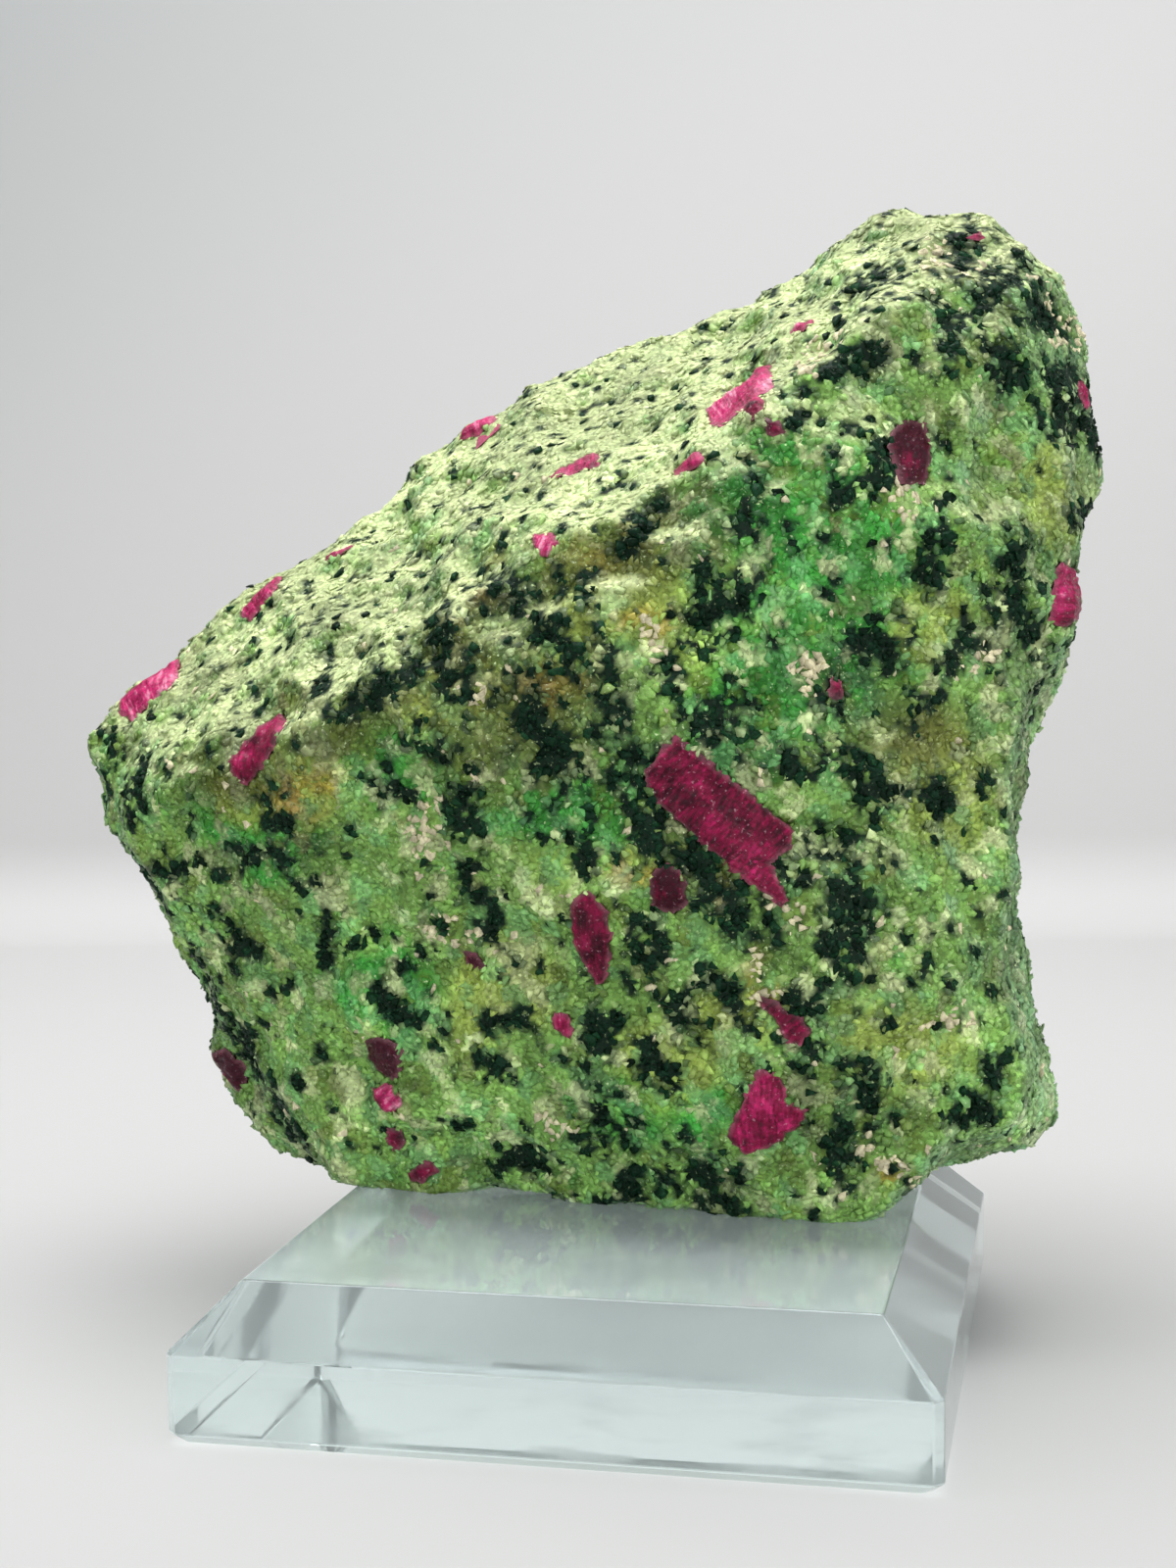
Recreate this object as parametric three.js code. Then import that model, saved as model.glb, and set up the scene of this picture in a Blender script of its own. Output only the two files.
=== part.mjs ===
// A rough specimen of ruby in zoisite standing on a bevelled square block of clear glass.
// Units are millimetres, +Z is up, and the origin is the middle of the block's underside.
// The broad broken face of the stone looks along -Y, towards the front of the block.
import * as THREE from 'three';
import { ConvexGeometry } from 'three/addons/geometries/ConvexGeometry.js';
import { ImprovedNoise } from 'three/addons/math/ImprovedNoise.js';

// ---- Driving dimensions ----

const BASE_SIDE = 100;
const BASE_THICKNESS = 20;
const TOP_BEVEL = 8; // 45 degree bevel round the top
const UPRIGHT_ARRIS = 1.2; // narrow flat ground on each upright edge
const FOOT_ARRIS = 1.5; // 45 degree flat ground round the underside
const SEAT_GAP = 0.05; // air left between the stone and the glass

const GEODESIC_DETAIL = 15; // each side of a 20-sided ball is split this many times
const RIDGE_SOFTENING = 2.3; // how far round the stone's middle a ridge is rounded, in degrees
const BROAD_BUMPS = { size: 17, height: 1.3 };
const SMALL_BUMPS = { size: 8, height: 0.7 };
const BUMP_PATTERN_START = new THREE.Vector3(125, 36, 80); // picks one pattern of bumps

// ---- The stone's corners ----
// The stone is described by closed rings of corners, one behind another from front to back.
// A corner is [x, y, height above the glass]. Each ring runs clockwise as seen from the front,
// starting at the left corner, round the line that runs front to back through STONE_MIDDLE.

const STONE_MIDDLE = new THREE.Vector3(-4, 27, 66);

const FRONT_POLE = [6, -11, 58];

// The middle of the broad front face, where it bulges forward.
const FRONT_BULGE = [
  [-46, -3, 52], [-30, -8, 68], [-8, -9, 82], [14, -7, 95], [34, 0, 109], [49, 10, 110],
  [47, 5, 86], [43, 1, 62], [41, -3, 40], [38, -5, 22], [18, -6, 15], [-6, -2, 16],
  [-26, 0, 17], [-38, 2, 28],
];

// The ridge round the front face, where it meets the sloping top, the flanks and the underside.
const FRONT_RIDGE = [
  [-76, 3, 61], [-60, -4, 63], [-47, -6, 67], [-31, -7, 79], [-16, -6, 90], [-3, -4, 97],
  [11, -1, 107], [24, 3, 115], [35, 7, 125], [41, 12, 136], [51, 19, 137], [59, 23, 129],
  [63, 23, 117], [64, 22, 103], [61, 17, 91], [61, 16, 84], [56, 12, 73], [55, 9, 57],
  [54, 7, 42], [56, 6, 28], [58, 7, 16], [51, 4, 12], [43, 1, 6], [33, -1, -2], [18, 0, -2],
  [2, 2, -1], [-11, 4, 0], [-21, 6, 2], [-32, 6, -1], [-40, 7, -2], [-46, 6, 3], [-54, 9, 19],
  [-65, 8, 35], [-75, 6, 51],
];

// The widest ring, which is the stone's outline seen from the front.
const OUTLINE = [
  [-89, 16, 65], [-85, 20, 73], [-76, 25, 80], [-59, 32, 95], [-48, 35, 101], [-43, 38, 106],
  [-41, 39, 111], [-31, 40, 117], [-19, 42, 124], [-5, 44, 128], [8, 45, 133], [18, 45, 136],
  [27, 43, 142], [35, 38, 147], [44, 34, 147], [53, 34, 144], [60, 35, 140], [64, 36, 132],
  [65, 36, 121], [67, 35, 110], [67, 34, 99], [62, 30, 93], [65, 30, 87], [63, 29, 79],
  [59, 27, 73], [58, 27, 65], [56, 25, 56], [55, 22, 45], [56, 22, 34], [59, 23, 24],
  [62, 24, 14], [62, 21, 5], [48, 25, 5], [33, 27, 2], [8, 26, 1], [-18, 25, 2], [-38, 22, 1],
  [-49, 20, -1], [-59, 22, 1], [-65, 23, 6], [-70, 23, 14], [-71, 23, 20], [-73, 23, 27],
  [-78, 22, 39], [-81, 20, 47], [-86, 17, 57],
];

// The ridge round the back face, where the stone narrows again.
const BACK_RIDGE = [
  [-80, 38, 62], [-66, 50, 83], [-46, 56, 100], [-22, 59, 114], [2, 60, 124], [24, 58, 135],
  [42, 51, 139], [57, 50, 128], [60, 52, 106], [56, 51, 84], [52, 48, 62], [51, 47, 40],
  [54, 43, 18], [38, 42, 6], [12, 40, -2], [-16, 40, -2], [-42, 38, 5], [-60, 38, 16],
  [-70, 40, 36], [-78, 38, 50],
];

// The flatter middle of the back.
const BACK_FLAT = [
  [-54, 60, 62], [-38, 65, 82], [-10, 68, 98], [20, 67, 112], [42, 62, 108], [44, 60, 78],
  [40, 60, 46], [22, 60, 26], [-6, 62, 22], [-34, 58, 30], [-54, 56, 46],
];

const BACK_POLE = [-2, 68, 66];

// Where each ring lies between the front pole (0) and the back pole (1).
const RINGS = [
  { place: 0, corners: [FRONT_POLE] },
  { place: 0.2, corners: FRONT_BULGE },
  { place: 0.38, corners: FRONT_RIDGE },
  { place: 0.54, corners: OUTLINE },
  { place: 0.68, corners: BACK_RIDGE },
  { place: 0.84, corners: BACK_FLAT },
  { place: 1, corners: [BACK_POLE] },
];

// ---- The glass block ----

// The corners of a square, each cut off by a narrow flat where arris is above 0.
function squareCorners(halfSide, arris, z) {
  const short = halfSide - arris;
  const corners = [];
  for (const [sx, sy] of [[1, 1], [-1, 1], [-1, -1], [1, -1]]) {
    corners.push(new THREE.Vector3(sx * halfSide, sy * short, z));
    corners.push(new THREE.Vector3(sx * short, sy * halfSide, z));
  }
  return corners;
}

function glassBlock() {
  const half = BASE_SIDE / 2;
  return new ConvexGeometry([
    ...squareCorners(half - FOOT_ARRIS, UPRIGHT_ARRIS, 0),
    ...squareCorners(half, UPRIGHT_ARRIS, FOOT_ARRIS),
    ...squareCorners(half, UPRIGHT_ARRIS, BASE_THICKNESS - TOP_BEVEL),
    ...squareCorners(half - TOP_BEVEL, 0, BASE_THICKNESS),
  ]);
}

// ---- The stone ----

// The angle of a point round the stone's front-to-back line.
function angleOf({ x, z }) {
  return Math.atan2(z, x);
}

// A ring's corners as vectors from the stone's middle, in rising order of angle.
function sortedRing(corners) {
  return corners
    .map((corner) => new THREE.Vector3(...corner).sub(STONE_MIDDLE))
    .sort((a, b) => angleOf(a) - angleOf(b));
}

const SORTED_RINGS = RINGS.map(({ place, corners }) => ({ place, ring: sortedRing(corners) }));

// How far a point is to one side of a line drawn from the middle at this angle.
function sideOfLine({ x, z }, angle) {
  return x * Math.sin(angle) - z * Math.cos(angle);
}

// The point of a ring at this angle, on the straight side between two of its corners.
function ringPoint(ring, angle) {
  if (ring.length === 1) return ring[0].clone();
  const next = ring.findIndex((corner) => angleOf(corner) > angle);
  const to = ring[Math.max(next, 0)];
  const from = ring[next > 0 ? next - 1 : ring.length - 1];
  const [start, end] = [sideOfLine(from, angle), sideOfLine(to, angle)];
  return from.clone().lerp(to, THREE.MathUtils.clamp(start / (start - end), 0, 1));
}

// The point of the broken block that a direction from its middle leads to.
function blockPoint(direction) {
  const angle = angleOf(direction);
  const place = Math.acos(THREE.MathUtils.clamp(-direction.y, -1, 1)) / Math.PI;
  const behind = SORTED_RINGS.findIndex((entry, i) => i > 0 && entry.place >= place);
  const [front, back] = SORTED_RINGS.slice(behind - 1, behind + 1);
  const share = (place - front.place) / (back.place - front.place);
  return ringPoint(front.ring, angle).lerp(ringPoint(back.ring, angle), share);
}

// A broken ridge isn't knife sharp, so each point is the mean of a small patch of the block.
function softenedPoint(direction) {
  const reach = Math.tan(THREE.MathUtils.degToRad(RIDGE_SOFTENING));
  const across = new THREE.Vector3(direction.z, 0, -direction.x).setLength(reach);
  const along = new THREE.Vector3().crossVectors(direction, across);
  const patch = [[0, 0], [1, 0], [-1, 0], [0, 1], [0, -1]].map(([a, b]) =>
    blockPoint(direction.clone().addScaledVector(across, a).addScaledVector(along, b).normalize()));
  return patch.reduce((sum, point) => sum.add(point)).divideScalar(patch.length);
}

const noise = new ImprovedNoise();

function bumpAt(point, { size, height }) {
  const place = point.clone().add(BUMP_PATTERN_START).divideScalar(size);
  return height * noise.noise(place.x, place.y, place.z);
}

function roughStone() {
  const geometry = new THREE.IcosahedronGeometry(1, GEODESIC_DETAIL);
  const positions = geometry.getAttribute('position');
  for (let i = 0; i < positions.count; i++) {
    const direction = new THREE.Vector3().fromBufferAttribute(positions, i).normalize();
    const point = softenedPoint(direction);
    const bump = bumpAt(point, BROAD_BUMPS) + bumpAt(point, SMALL_BUMPS);
    point.addScaledVector(point.clone().normalize(), bump).add(STONE_MIDDLE);
    positions.setXYZ(i, point.x, point.y, Math.max(point.z, 0)); // flat where it rests
  }
  geometry.computeVertexNormals();
  return geometry;
}

// ---- The specimen ----

function namedMesh(name, geometry, look) {
  const mesh = new THREE.Mesh(geometry, new THREE.MeshStandardMaterial(look));
  mesh.name = name;
  return mesh;
}

const specimen = new THREE.Group();

specimen.add(namedMesh('glass_base', glassBlock(), {
  color: 0xd5e8e4, roughness: 0.03, metalness: 0, transparent: true, opacity: 0.35,
}));

const stone = namedMesh('ruby_in_zoisite_stone', roughStone(), {
  color: 0x7f9a5c, roughness: 0.55, metalness: 0,
});
stone.position.z = BASE_THICKNESS + SEAT_GAP;
specimen.add(stone);

export default specimen;
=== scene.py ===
# %% [markdown]
# # Ruby in zoisite on a glass block
# The object is a rough lump of rock, about as wide as a hand is long, standing on a bevelled block
# of clear glass. The rock is a tight mass of sugary green zoisite grains with black hornblende
# between them, a few cream feldspar patches, and flat magenta rubies broken flush with the
# surface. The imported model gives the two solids. Everything below is built round them, in metres.

import math

import bmesh
import bpy
import numpy as np
from mathutils import Matrix, Vector, noise
from mathutils.bvhtree import BVHTree
from mathutils.kdtree import KDTree


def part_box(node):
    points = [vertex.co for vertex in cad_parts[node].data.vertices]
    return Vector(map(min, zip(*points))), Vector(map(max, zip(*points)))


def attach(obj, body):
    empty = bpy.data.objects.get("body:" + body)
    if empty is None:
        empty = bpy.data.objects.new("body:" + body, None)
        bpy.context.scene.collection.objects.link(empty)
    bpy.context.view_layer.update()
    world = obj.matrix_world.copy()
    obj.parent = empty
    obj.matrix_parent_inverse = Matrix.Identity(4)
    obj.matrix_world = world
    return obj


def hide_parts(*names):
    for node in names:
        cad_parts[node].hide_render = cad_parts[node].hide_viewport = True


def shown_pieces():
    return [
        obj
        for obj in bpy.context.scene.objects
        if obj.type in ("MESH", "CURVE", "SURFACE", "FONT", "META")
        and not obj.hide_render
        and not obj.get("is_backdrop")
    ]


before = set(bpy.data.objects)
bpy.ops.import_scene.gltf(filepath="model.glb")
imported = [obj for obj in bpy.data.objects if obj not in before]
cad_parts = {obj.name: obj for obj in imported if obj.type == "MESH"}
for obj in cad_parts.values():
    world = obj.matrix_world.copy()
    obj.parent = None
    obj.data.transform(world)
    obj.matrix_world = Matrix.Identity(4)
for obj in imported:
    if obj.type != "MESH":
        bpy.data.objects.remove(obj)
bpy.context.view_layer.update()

MM = 0.001
STONE, GLASS = "ruby_in_zoisite_stone", "glass_base"
SEED = 41
noise.seed_set(SEED)  # without it, the vector noise would start from the clock
stone_low, stone_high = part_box(STONE)
stone_middle, stone_size = (stone_low + stone_high) / 2, stone_high - stone_low
glass_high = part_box(GLASS)[1]
print("stone size, mm:", [round(v / MM, 1) for v in stone_size])

# %% [markdown]
# ## The broken rock
# The frame's stone has the right planes and ridges, but flat facets several millimetres wide. A
# rock like this broke along its grains, so its surface is uneven at every scale. It could be
# sculpted by hand, or given a bump map, but a bump map leaves a smooth outline. Here a merged copy
# is remeshed to even facets under a millimetre wide and smoothed. Noise then displaces it at three
# sizes: flat breaks about a centimetre wide, shallow hollows, and small steps. So the roughness is
# in the outline too.

# %% The broken rock
FACET = 0.87 * MM


def merged_copy(node, name):
    """A closed copy of a frame node, which is itself left alone."""
    shape = bmesh.new()
    shape.from_mesh(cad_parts[node].data)
    bmesh.ops.remove_doubles(shape, verts=shape.verts, dist=0.001 * MM)
    return finished_piece(shape, name)


def add_object(name, data):
    """An object in the scene, at the origin, that holds this mesh, lamp or camera."""
    made = bpy.data.objects.new(name, data)
    bpy.context.scene.collection.objects.link(made)
    return made


def finished_piece(shape, name):
    """A piece that holds this bmesh."""
    mesh = bpy.data.meshes.new(name)
    shape.to_mesh(mesh)
    shape.free()
    return add_object(name, mesh)


def apply_modifiers(piece):
    """Puts the result of the piece's modifiers in its own mesh."""
    bpy.context.view_layer.update()
    evaluated = piece.evaluated_get(bpy.context.evaluated_depsgraph_get())
    shaped, plain = bpy.data.meshes.new_from_object(evaluated), piece.data
    piece.modifiers.clear()
    piece.data = shaped
    bpy.data.meshes.remove(plain)
    shaped.name = piece.name


def roughen(piece, name, kind, size, height, middle=0.5):
    """Displaces the piece by one of Blender's own noise textures. middle stays where it is."""
    texture = bpy.data.textures.new(name, kind)
    texture.noise_scale = size
    layer = piece.modifiers.new(name, "DISPLACE")
    layer.texture = texture
    layer.texture_coords = "LOCAL"
    layer.strength, layer.mid_level = height, middle


rock = merged_copy(STONE, "broken_rock")
remesh = rock.modifiers.new("even_facets", "REMESH")
remesh.mode, remesh.voxel_size = "VOXEL", FACET
smooth = rock.modifiers.new("worn_facets", "SMOOTH")
smooth.factor, smooth.iterations = 0.5, 7
roughen(rock, "breaks", "VORONOI", 11 * MM, 3.4 * MM, middle=0.38)
roughen(rock, "hollows", "CLOUDS", 8 * MM, 1.9 * MM)
roughen(rock, "steps", "CLOUDS", 3.5 * MM, 1.0 * MM)
apply_modifiers(rock)
print("rock facets:", len(rock.data.polygons))

# %% [markdown]
# ## Where things are on the rock
# Crystals and patches are placed as a collector would describe them: looking at one side of the
# stone, so far across and so far up. Each side is a direction to look in, with its own across and
# up. A ray from that side finds the rock's surface, so a place needs no depth.

# %% Places on the rock
# to the right, up and straight ahead, for a look from each side
SIDES = {
    "front": (Vector((1, 0, 0)), Vector((0, 0, 1)), Vector((0, 1, 0))),
    "back": (Vector((-1, 0, 0)), Vector((0, 0, 1)), Vector((0, -1, 0))),
    "right": (Vector((0, 1, 0)), Vector((0, 0, 1)), Vector((-1, 0, 0))),
    "left": (Vector((0, -1, 0)), Vector((0, 0, 1)), Vector((1, 0, 0))),
}
OUTSIDE = 0.2  # metres from the stone's middle to where a look starts


def side_place(side, across, up):
    """A point in the stone's middle plane, so far across and so far up its face, from 0 to 1."""
    place = stone_middle.copy()
    for direction, share in zip(SIDES[side], (across, up)):
        place += direction * abs(direction.dot(stone_size)) * (share - 0.5)
    return place


surface = BVHTree.FromPolygons(
    [v.co for v in rock.data.vertices], [p.vertices for p in rock.data.polygons])


def on_rock(side, point):
    """The surface point and its normal that a look from this side meets at the point."""
    look = SIDES[side][2]
    place, normal, _, _ = surface.ray_cast(point - look * OUTSIDE, look)
    if place is None:  # the look passes the stone by
        place, normal, _, _ = surface.find_nearest(point)
    return place, normal


print("front, half across, half up:", on_rock("front", side_place("front", 0.5, 0.5))[0])

# %% [markdown]
# ## Ruby crystals
# Corundum grows as six-sided prisms and plates. Where the rock broke through them they show as
# flat slabs, lenses and stubby polygons, level with the surface, with a rough and finely ridged
# face. Each one could be a boolean of a prism with the rock, but the ridges and the ragged rim
# would be lost. Here a fine grid is cut to the crystal's outline, laid on the rock, and given a
# depth, so the face follows the rock and the edge sinks into it.

# %% Ruby crystals: outlines
# Corners of each outline, anticlockwise, as fractions of the crystal's length and width.
OUTLINES = {
    "big slab": [(-0.5, 0.5), (-0.5, -0.2), (-0.4, -0.4), (-0.17, -0.48), (0.41, -0.5),
                 (0.48, -0.05), (0.5, 0.28), (0.46, 0.5)],
    "slab tail": [(-0.5, 0.4), (-0.5, -0.5), (0.5, -0.35), (0.48, 0.05), (-0.05, 0.5)],
    "lens": [(-0.13, 0.5), (-0.43, 0.36), (-0.5, 0.1), (-0.36, -0.13), (0.0, -0.5),
             (0.22, -0.5), (0.34, -0.28), (0.5, 0.06), (0.36, 0.32), (0.12, 0.5)],
    "pentagon": [(0.5, 0.15), (0.4, 0.4), (0.1, 0.5), (-0.13, 0.3), (-0.28, 0.08),
                 (-0.5, -0.3), (-0.22, -0.5), (0.42, -0.33)],
    "ear": [(-0.5, 0.48), (-0.5, -0.5), (0.2, -0.3), (0.5, 0.1)],
    "worn slab": [(0.3, 0.5), (0.08, 0.38), (-0.15, 0.18), (-0.5, -0.16), (-0.37, -0.36),
                  (-0.18, -0.5), (0.16, -0.22), (0.4, 0.04), (0.49, 0.36)],
    "tooth": [(-0.04, 0.5), (-0.3, 0.42), (-0.5, 0.2), (-0.5, 0.05), (-0.3, -0.3),
              (-0.15, -0.5), (0.36, -0.48), (0.5, 0.07), (0.28, 0.44)],
    "slab": [(-0.5, 0.05), (-0.38, -0.5), (0.42, -0.5), (0.5, 0.35), (0.4, 0.5), (-0.44, 0.42)],
    "stub": [(-0.5, -0.3), (0.0, -0.5), (0.5, -0.25), (0.42, 0.3), (0.05, 0.5), (-0.35, 0.3)],
    "round": [(-0.43, -0.1), (-0.05, -0.43), (0.26, -0.5), (0.48, -0.2), (0.5, 0.2),
              (0.3, 0.43), (-0.1, 0.5), (-0.43, 0.38), (-0.5, 0.15)],
    "blade": [(-0.5, -0.35), (0.1, -0.5), (0.5, -0.1), (0.5, 0.15), (-0.4, 0.5)],
    "wedge": [(-0.5, 0.15), (-0.45, -0.1), (0.3, -0.5), (0.5, -0.3), (0.45, 0.4), (0.2, 0.5)],
    "chip": [(-0.5, 0.0), (-0.1, -0.5), (0.45, -0.3), (0.5, 0.25), (-0.05, 0.5)],
}
# side, across, up, length and width in mm, turn in degrees, outline, tone from 0 dark to 1 pink
RUBIES = [
    ("front", 0.672, 0.403, 21.8, 9.5, -40, "big slab", 0.40),
    ("front", 0.712, 0.342, 10.4, 4.2, -40, "slab tail", 0.50),
    ("front", 0.557, 0.279, 6.3, 13.8, 0, "lens", 0.46),
    ("front", 0.706, 0.112, 8.6, 13.2, 0, "pentagon", 0.62),
    ("front", 0.735, 0.110, 5.6, 7.2, 0, "ear", 0.58),
    ("front", 0.730, 0.205, 9.0, 4.0, -42, "wedge", 0.40),
    ("front", 0.629, 0.329, 5.8, 7.6, 10, "stub", 0.14),
    ("front", 0.523, 0.190, 2.9, 4.2, 0, "round", 0.72),
    ("front", 0.337, 0.143, 6.6, 6.8, 0, "round", 0.0),
    ("front", 0.338, 0.102, 5.4, 4.6, -45, "stub", 0.80),
    ("front", 0.342, 0.055, 4.0, 3.4, 80, "chip", 0.42),
    ("front", 0.368, 0.022, 5.2, 3.2, 25, "chip", 0.45),
    ("front", 0.225, 0.457, 9.4, 10.8, 0, "worn slab", 0.46),
    ("front", 0.060, 0.510, 11.5, 5.2, 38, "slab", 0.82),
    ("front", 0.170, 0.607, 8.2, 3.2, 50, "slab", 0.80),
    ("front", 0.250, 0.655, 5.2, 1.6, 28, "blade", 0.85),
    ("front", 0.378, 0.790, 6.8, 3.0, 27, "stub", 0.68),
    ("front", 0.517, 0.735, 8.4, 2.7, 20, "wedge", 0.76),
    ("front", 0.510, 0.657, 4.8, 3.2, -15, "round", 0.80),
    ("front", 0.640, 0.730, 5.4, 2.8, 22, "wedge", 0.66),
    ("front", 0.678, 0.800, 11.5, 5.4, 38, "slab", 0.84),
    ("front", 0.698, 0.788, 4.6, 3.4, -68, "stub", 0.60),
    ("front", 0.718, 0.765, 3.6, 2.4, -40, "chip", 0.22),
    ("front", 0.730, 0.870, 4.2, 1.8, 25, "chip", 0.80),
    ("front", 0.838, 0.740, 5.9, 9.4, 0, "tooth", 0.12),
    ("front", 0.977, 0.600, 9.4, 4.6, 84, "slab", 0.58),
    ("front", 0.135, 0.100, 8.0, 5.6, -50, "stub", 0.05),
    ("front", 0.890, 0.960, 3.0, 1.6, 0, "chip", 0.60),
    ("front", 0.437, 0.250, 4.4, 2.4, -30, "chip", 0.35),
    ("front", 0.775, 0.515, 2.2, 4.0, 0, "chip", 0.48),
    ("right", 0.45, 0.22, 9.0, 5.0, 70, "slab", 0.50),
    ("right", 0.60, 0.52, 7.0, 5.5, 20, "stub", 0.30),
    ("right", 0.52, 0.80, 6.0, 3.0, -40, "blade", 0.62),
    ("left", 0.42, 0.40, 9.0, 4.5, 60, "wedge", 0.40),
    ("left", 0.28, 0.66, 8.0, 5.0, 15, "stub", 0.65),
    ("back", 0.30, 0.62, 18.0, 8.0, 40, "big slab", 0.42),
    ("back", 0.55, 0.38, 12.0, 8.5, -30, "stub", 0.48),
    ("back", 0.42, 0.20, 5.5, 13.0, 25, "lens", 0.52),
    ("back", 0.70, 0.44, 8.0, 4.0, 10, "blade", 0.25),
    ("back", 0.18, 0.42, 7.0, 6.0, 50, "round", 0.10),
    ("back", 0.62, 0.60, 6.0, 3.5, -55, "chip", 0.65),
    ("back", 0.82, 0.34, 9.0, 4.5, 60, "blade", 0.55),
    ("back", 0.33, 0.82, 7.0, 4.0, 30, "slab", 0.45),
    ("back", 0.48, 0.08, 6.0, 4.0, -15, "chip", 0.30),
    ("back", 0.25, 0.26, 5.0, 3.0, 35, "chip", 0.70),
]
print("rubies:", len(RUBIES))

# %% Ruby crystals: laying them on the rock
RUBY_GRID = 0.4 * MM
RUBY_DEPTH = 3.0 * MM
RUBY_PROUD = 0.5 * MM
RIDGE_HEIGHT = 0.3 * MM
RIM_WIDTH = 0.8 * MM
RAGGED_EDGE = 0.7 * MM
RAGGED_SIZE = 1.3 * MM
PATTERN_STEP = 3.7  # sets each crystal's pattern apart from the next one's


def crystal_axes(side, turn):
    """The crystal's own along and across directions, seen from a side."""
    right, top, look = SIDES[side]
    angle = math.radians(turn)
    along = right * math.cos(angle) + top * math.sin(angle)
    return along, along.cross(look), look


def outline_sides(outline, length, width):
    """Each straight side of an outline: a point on it and its outward direction."""
    corners = [Vector((x * length, y * width, 0)) for x, y in OUTLINES[outline]]
    return [(start, (end - start).cross(Vector((0, 0, 1))).normalized())
            for start, end in zip(corners, corners[1:] + corners[:1])]


def ridges(lie):
    """The fine ridges and small steps of a broken ruby face, from -1 to 1."""
    fine = noise.noise(Vector((lie.x / (0.8 * MM), lie.y / (2.6 * MM), lie.z)))
    steps = noise.noise(Vector((lie.x / (3.5 * MM), lie.y / (3.0 * MM), lie.z + 5)))
    return 0.6 * fine + 0.8 * round(steps * 3) / 3


def ruby_grid(outline, length, width):
    """A fine flat grid, trimmed to its outline by one straight cut for each side."""
    shape = bmesh.new()
    bmesh.ops.create_grid(
        shape, x_segments=math.ceil(length / RUBY_GRID), y_segments=math.ceil(width / RUBY_GRID),
        size=0.5, matrix=Matrix.Diagonal((length, width, 1, 1)))
    for corner, outwards in outline_sides(outline, length, width):
        bmesh.ops.bisect_plane(
            shape, geom=[*shape.verts, *shape.edges, *shape.faces], dist=0.01 * MM,
            plane_co=corner, plane_no=outwards, clear_outer=True)
    return shape


def ruby_crystal(number, side, across, up, length, width, turn, outline, tone):
    """One crystal. Each vertex keeps its own place in the crystal for the material."""
    length, width = length * MM, width * MM
    along, over, look = crystal_axes(side, turn)
    middle = side_place(side, across, up)
    shape = ruby_grid(outline, length, width)
    facts = {name: shape.verts.layers.float.new(name) for name in ("tone", "rim")}
    lie_layer = shape.verts.layers.float_vector.new("lie")
    sides = outline_sides(outline, length, width)
    for vert in shape.verts:
        inside = min((corner - vert.co).dot(outwards) for corner, outwards in sides)
        vert[facts["tone"]], vert[facts["rim"]] = tone, max(0, 1 - inside / RIM_WIDTH)
        vert[lie_layer] = Vector((vert.co.x, vert.co.y, number * PATTERN_STEP))
    raised = bmesh.ops.extrude_face_region(shape, geom=list(shape.faces))["geom"]
    top = {v for v in raised if isinstance(v, bmesh.types.BMVert)}
    for vert in shape.verts:
        lie, rim = Vector(vert[lie_layer]), vert[facts["rim"]]
        fray = noise.noise_vector(lie / RAGGED_SIZE + Vector((number, 0, 0))) * RAGGED_EDGE * rim
        place, normal = on_rock(
            side, middle + along * (lie.x + fray.x) + over * (lie.y + fray.y))
        height = (RUBY_PROUD + RIDGE_HEIGHT * ridges(lie)) * (1 - rim)
        vert.co = place + (normal * height if vert in top else look * RUBY_DEPTH)
    bmesh.ops.recalc_face_normals(shape, faces=shape.faces)
    return shape


def join(shapes, name):
    """One piece from many bmeshes."""
    whole = bmesh.new()
    for shape in shapes:
        part = bpy.data.meshes.new("part")
        shape.to_mesh(part)
        shape.free()
        whole.from_mesh(part)
        bpy.data.meshes.remove(part)
    return finished_piece(whole, name)


rubies = join([ruby_crystal(i, *facts) for i, facts in enumerate(RUBIES)], "ruby_crystals")
print("ruby faces:", len(rubies.data.polygons))

# %% [markdown]
# ## Which mineral is where
# The hornblende isn't sprinkled evenly: it crowds into ragged bands and clusters, with single
# spots between them. Painting that by hand would take an image, and plain noise has no clusters in
# the right places. Here each cluster is an ellipse on the front of the stone, and fine noise tears
# it into spots and gaps. On the back, broad noise makes clusters of the same kind. Round spots are
# scattered over everything, more thickly in the clusters and on the top. The feldspar crusts are
# torn ellipses too.

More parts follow.
